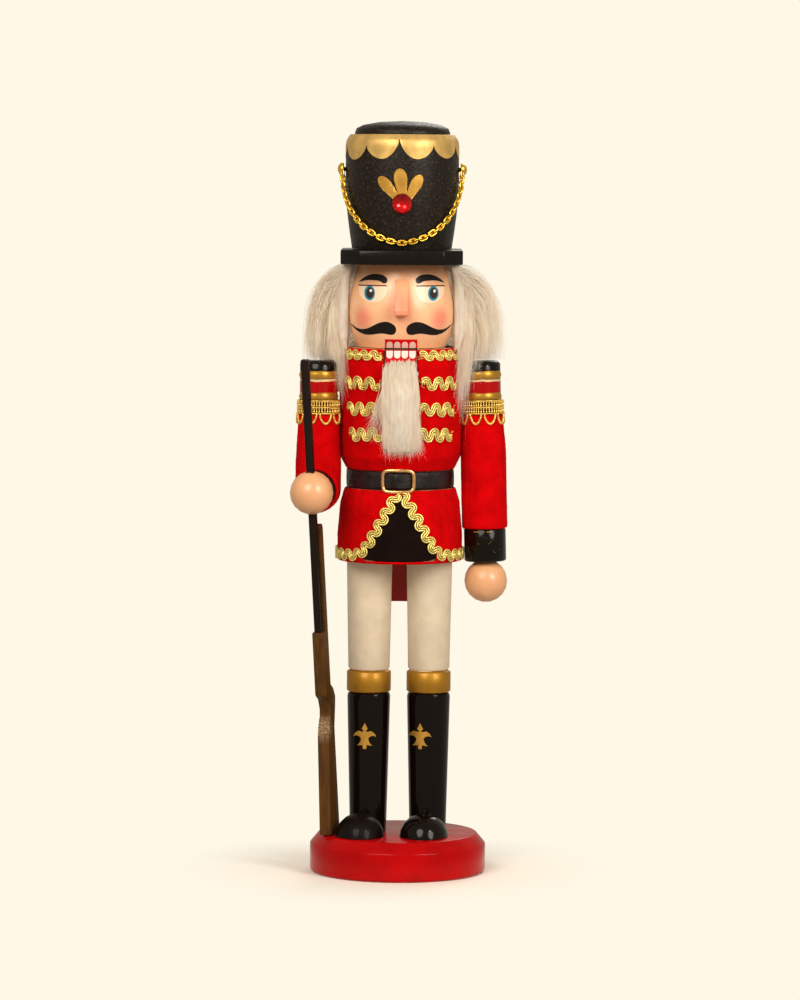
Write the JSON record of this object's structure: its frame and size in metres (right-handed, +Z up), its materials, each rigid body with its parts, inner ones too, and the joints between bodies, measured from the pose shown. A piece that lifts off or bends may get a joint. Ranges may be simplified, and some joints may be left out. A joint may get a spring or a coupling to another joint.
{
  "type": "nutcracker figure",
  "caption": "Standing wooden soldier nutcracker on a round base, with felt coat, tall hat, leaning rifle and a jaw worked by a lever at the back.",
  "frame": {"origin": "centre of the round base's underside, on the surface the figure stands on", "axes": "+Z up the figure, -Y out of its face, +X to the right of someone who faces it"},
  "size_m": [0.1105, 0.0954, 0.3839],
  "materials": {
    "red_paint": "red gloss lacquer on turned wood",
    "jaw_paint": "dark red lacquer on a wooden board",
    "leg_paint": "cream satin thigh, gold knee band, black gloss boot, on turned wood",
    "arm_paint": "black gloss with gold rings and a red band, on turned wood",
    "black_paint": "black gloss lacquer on wood",
    "hat_black": "black fine-grained lacquer with gold scallops and petals",
    "skin_paint": "skin-coloured gloss lacquer with a painted face",
    "red_felt": "short-nap felt",
    "black_felt": "short-nap felt",
    "leather": "thin grained strap",
    "gold_braid": "gold gimp of wrapped cord",
    "brass": "polished, gold-coloured",
    "steel": "plain wire and screw steel",
    "bare_wood": "unfinished beech",
    "rifle_wood": "brown stained, satin",
    "fur": "white long-pile artificial fur",
    "red_gem": "clear-red acrylic stone"
  },
  "bodies": {
    "root": {"base": "red_paint", "leg_left": "leg_paint", "leg_right": "leg_paint", "foot_left": "black_paint", "foot_right": "black_paint", "base_screw_left": "steel", "base_screw_right": "steel", "leg_dowel_left": "bare_wood", "leg_dowel_right": "bare_wood", "torso": "red_paint", "coat_upper": "red_felt", "coat_skirt": "red_felt", "front_panel": "black_felt", "belt": "leather", "buckle": "brass", "collar_braid_left": "gold_braid", "collar_braid_right": "gold_braid", "coat_edge_braid_left": "gold_braid", "coat_edge_braid_right": "gold_braid", "pivot_pin": "steel", "hair": "fur", "head": "skin_paint", "nose": "skin_paint", "neck_dowel_left": "bare_wood", "neck_dowel_right": "bare_wood", "hat_brim": "black_paint", "hat_crown": "hat_black", "hat_dowel": "bare_wood", "hat_jewel": "red_gem", "chain_stud_left": "brass", "chain_stud_right": "brass", "arm_left": "arm_paint", "arm_right": "arm_paint", "forearm_left": "black_paint", "forearm_dowel": "bare_wood", "wrist_dowel_right": "bare_wood", "shoulder_dowel_left": "bare_wood", "shoulder_dowel_right": "bare_wood", "sleeve_left": "red_felt", "sleeve_right": "red_felt", "epaulette_trim_left": "gold_braid", "epaulette_trim_right": "gold_braid", "hand_left": "skin_paint", "hand_right": "skin_paint", "rifle_barrel": "black_paint", "rifle_stock": "rifle_wood", "chest_braid_1_left": "gold_braid", "chest_braid_1_right": "gold_braid", "chest_braid_2_left": "gold_braid", "chest_braid_2_right": "gold_braid", "chest_braid_3_left": "gold_braid", "chest_braid_3_right": "gold_braid"},
    "jaw": {"jaw_lever": "jaw_paint", "beard": "fur"},
    "chain": {"hat_chain": "brass"}
  },
  "joints": [
    {"name": "jaw_hinge", "type": "hinge", "parent": "root", "child": "jaw", "pos_m": [0, 0.004, 0.2427], "axis": [1, 0, 0], "range_deg": [0, 22], "deforming": ["beard"]},
    {"name": "chain_swing", "type": "hinge", "parent": "root", "child": "chain", "pos_m": [0, 0, 0.3593], "axis": [-1, 0, 0], "range_deg": [0, 70]}
  ]
}
